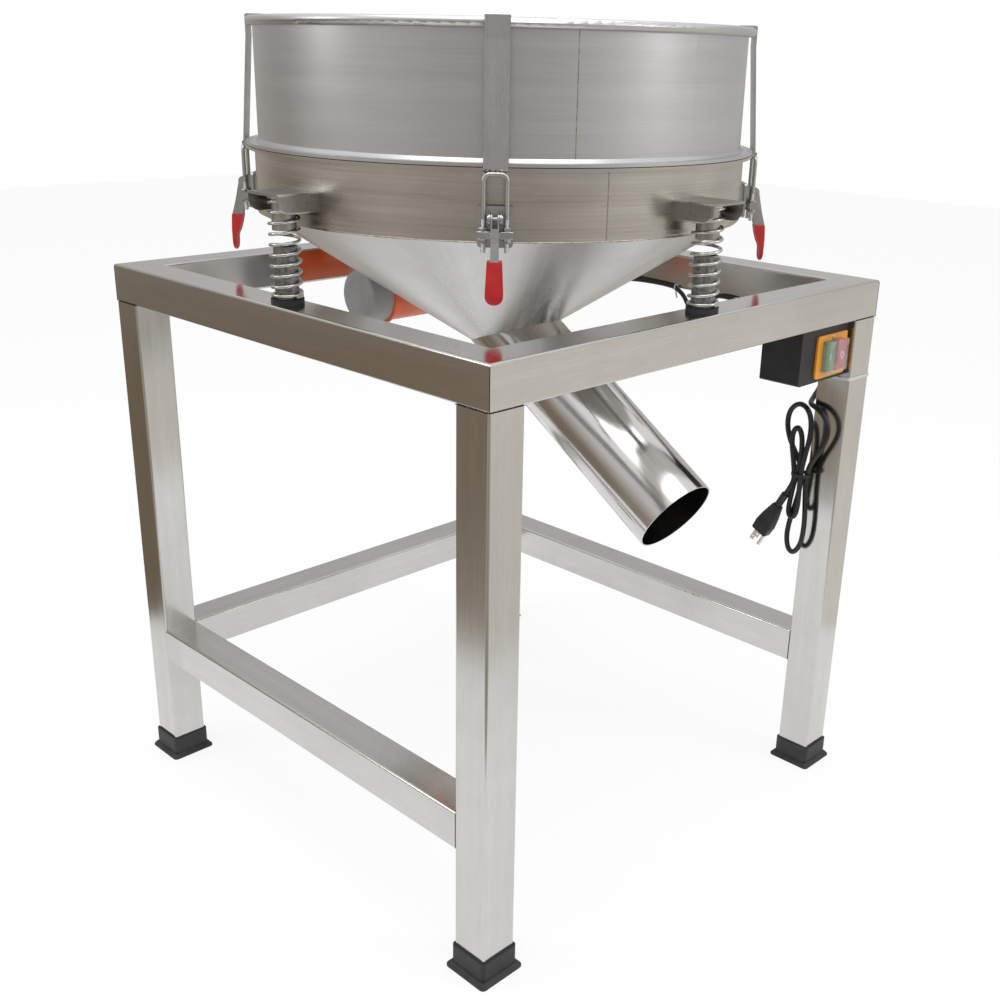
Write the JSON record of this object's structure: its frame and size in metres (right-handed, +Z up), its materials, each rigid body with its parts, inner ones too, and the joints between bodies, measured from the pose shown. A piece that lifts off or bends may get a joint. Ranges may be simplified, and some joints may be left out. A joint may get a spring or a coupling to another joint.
{
  "type": "vibrating sieve",
  "caption": "Round vibrating sieve on coil springs: open feed drum clamped over a hopper with a slanted discharge spout, on a square-tube stand.",
  "frame": {"origin": "on the floor under the drum's axis, the centre of the stand's footprint", "axes": "+Z up along the drum's axis, +X towards the discharge spout's outlet, +Y towards the switch box side"},
  "size_m": [0.753, 0.753, 1.0664],
  "materials": {
    "frame_tube": "polished stainless tube",
    "sieve_sheet": "brushed stainless sheet",
    "spout_steel": "mirror polished stainless tube",
    "spring_zinc": "zinc plated wire",
    "mesh_wire": "woven wire",
    "clamp_steel": "plated steel",
    "black_rubber": "matte black",
    "red_vinyl": "soft red vinyl",
    "motor_orange": "orange paint",
    "motor_grey": "grey paint",
    "rotor_steel": "turned steel",
    "box_black": "black plastic",
    "plate_amber": "amber plastic",
    "green_button": "green plastic",
    "red_button": "red plastic",
    "clear_vinyl": "clear soft cover",
    "plug_brass": "plated brass"
  },
  "bodies": {
    "frame": {"leg_front_left": "frame_tube", "leg_front_right": "frame_tube", "leg_back_left": "frame_tube", "leg_back_right": "frame_tube", "foot_cups": "black_rubber", "rail_front": "frame_tube", "rail_back": "frame_tube", "rail_left": "frame_tube", "rail_right": "frame_tube", "stretcher_left": "frame_tube", "stretcher_right": "frame_tube", "stretcher_back": "frame_tube", "spring_seat_rings": "black_rubber", "spring_front": "spring_zinc", "spring_right": "spring_zinc", "spring_back": "spring_zinc", "spring_left": "spring_zinc", "switch_box": "box_black", "switch_plate": "plate_amber", "button_cover": "clear_vinyl", "cord_gland": "black_rubber", "power_cord": "black_rubber", "cord_tail": "black_rubber", "cord_hank": "black_rubber", "plug_body": "black_rubber", "plug_blades": "plug_brass", "motor_lead": "black_rubber"},
    "sieve_body": {"feed_drum": "sieve_sheet", "screen_ring": "sieve_sheet", "screen_mesh": "mesh_wire", "lower_band": "sieve_sheet", "hopper_cone": "sieve_sheet", "discharge_spout": "spout_steel", "spring_brackets": "sieve_sheet", "clamp_bases": "clamp_steel", "motor_mount": "sieve_sheet", "motor_housing": "motor_orange", "motor_end_covers": "motor_grey", "motor_bearings": "rotor_steel", "motor_terminal_box": "motor_orange"},
    "motor_rotor": {"motor_shaft": "rotor_steel", "eccentric_weights": "rotor_steel"},
    "start_button": {"start_button": "green_button"},
    "stop_button": {"stop_button": "red_button"},
    "clamp_lever_front_left": {"clamp_handle_front_left": "clamp_steel", "clamp_grip_front_left": "red_vinyl"},
    "clamp_hook_front_left": {"clamp_carrier_front_left": "clamp_steel", "hook_strap_front_left": "clamp_steel"},
    "clamp_lever_front_right": {"clamp_handle_front_right": "clamp_steel", "clamp_grip_front_right": "red_vinyl"},
    "clamp_hook_front_right": {"clamp_carrier_front_right": "clamp_steel", "hook_strap_front_right": "clamp_steel"},
    "clamp_lever_back_left": {"clamp_handle_back_left": "clamp_steel", "clamp_grip_back_left": "red_vinyl"},
    "clamp_hook_back_left": {"clamp_carrier_back_left": "clamp_steel", "hook_strap_back_left": "clamp_steel"},
    "clamp_lever_back_right": {"clamp_handle_back_right": "clamp_steel", "clamp_grip_back_right": "red_vinyl"},
    "clamp_hook_back_right": {"clamp_carrier_back_right": "clamp_steel", "hook_strap_back_right": "clamp_steel"}
  },
  "joints": [
    {"name": "sieve_bounce", "type": "slide", "parent": "frame", "child": "sieve_body", "axis": [0, 0, 1], "range_m": [-0.012, 0.004], "stiffness_N_per_m": 70000, "springref_m": 0.00373, "deforming": ["spring_front", "spring_right", "spring_back", "spring_left"]},
    {"name": "motor_spin", "type": "hinge", "parent": "sieve_body", "child": "motor_rotor", "pos_m": [-0.186, 0, 0.69932], "axis": [0, 1, 0], "continuous": true},
    {"name": "start_press", "type": "slide", "parent": "frame", "child": "start_button", "axis": [-1, 0, 0], "range_m": [0, 0.003], "stiffness_N_per_m": 800, "springref_m": -0.002},
    {"name": "stop_press", "type": "slide", "parent": "frame", "child": "stop_button", "axis": [-1, 0, 0], "range_m": [0, 0.003], "stiffness_N_per_m": 800, "springref_m": -0.002},
    {"name": "lever_front_left", "type": "hinge", "parent": "sieve_body", "child": "clamp_lever_front_left", "pos_m": [0.239, -0.239, 0.862], "axis": [-0.7071, -0.7071, 0], "range_deg": [0, 105]},
    {"name": "hook_front_left", "type": "hinge", "parent": "clamp_lever_front_left", "child": "clamp_hook_front_left", "pos_m": [0.23617, -0.23617, 0.845], "axis": [-0.7071, -0.7071, 0], "range_deg": [-100, 0]},
    {"name": "lever_front_right", "type": "hinge", "parent": "sieve_body", "child": "clamp_lever_front_right", "pos_m": [0.239, 0.239, 0.862], "axis": [0.7071, -0.7071, 0], "range_deg": [0, 105]},
    {"name": "hook_front_right", "type": "hinge", "parent": "clamp_lever_front_right", "child": "clamp_hook_front_right", "pos_m": [0.23617, 0.23617, 0.845], "axis": [0.7071, -0.7071, 0], "range_deg": [-100, 0]},
    {"name": "lever_back_left", "type": "hinge", "parent": "sieve_body", "child": "clamp_lever_back_left", "pos_m": [-0.239, -0.239, 0.862], "axis": [-0.7071, 0.7071, 0], "range_deg": [0, 105]},
    {"name": "hook_back_left", "type": "hinge", "parent": "clamp_lever_back_left", "child": "clamp_hook_back_left", "pos_m": [-0.23617, -0.23617, 0.845], "axis": [-0.7071, 0.7071, 0], "range_deg": [-100, 0]},
    {"name": "lever_back_right", "type": "hinge", "parent": "sieve_body", "child": "clamp_lever_back_right", "pos_m": [-0.239, 0.239, 0.862], "axis": [0.7071, 0.7071, 0], "range_deg": [0, 105]},
    {"name": "hook_back_right", "type": "hinge", "parent": "clamp_lever_back_right", "child": "clamp_hook_back_right", "pos_m": [-0.23617, 0.23617, 0.845], "axis": [0.7071, 0.7071, 0], "range_deg": [-100, 0]}
  ],
  "couplings": [
    {"joint": "hook_front_left", "follows": "lever_front_left", "ratio": -0.95},
    {"joint": "hook_front_right", "follows": "lever_front_right", "ratio": -0.95},
    {"joint": "hook_back_left", "follows": "lever_back_left", "ratio": -0.95},
    {"joint": "hook_back_right", "follows": "lever_back_right", "ratio": -0.95}
  ]
}
